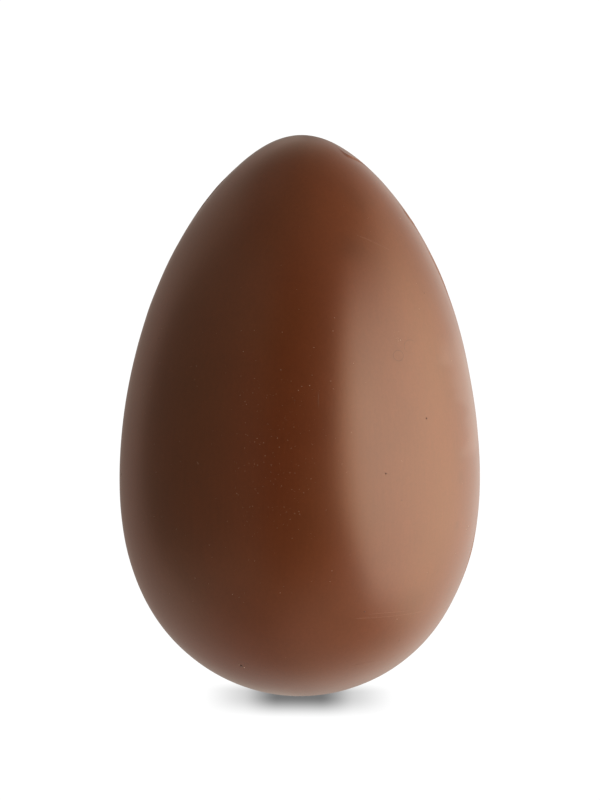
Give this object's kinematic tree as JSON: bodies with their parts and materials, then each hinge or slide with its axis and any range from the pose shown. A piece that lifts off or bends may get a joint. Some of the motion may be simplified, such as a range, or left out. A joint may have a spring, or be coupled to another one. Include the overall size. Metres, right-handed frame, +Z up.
{
  "type": "chocolate egg",
  "caption": "Smooth moulded milk-chocolate egg with a blunt base, a narrow rounded tip and a fine bead where its halves join, standing upright on a small flat spot.",
  "frame": {"origin": "centre of the small flat spot on the blunt end, where the egg stands", "axes": "+Z up along the egg's axis, from the blunt end to the tip; the join of the two halves lies in the XZ plane"},
  "size_m": [0.116, 0.1154, 0.1803],
  "materials": {
    "chocolate": "satin milk chocolate, cast against a polished mould"
  },
  "bodies": {
    "root": {"egg": "chocolate"}
  },
  "joints": []
}
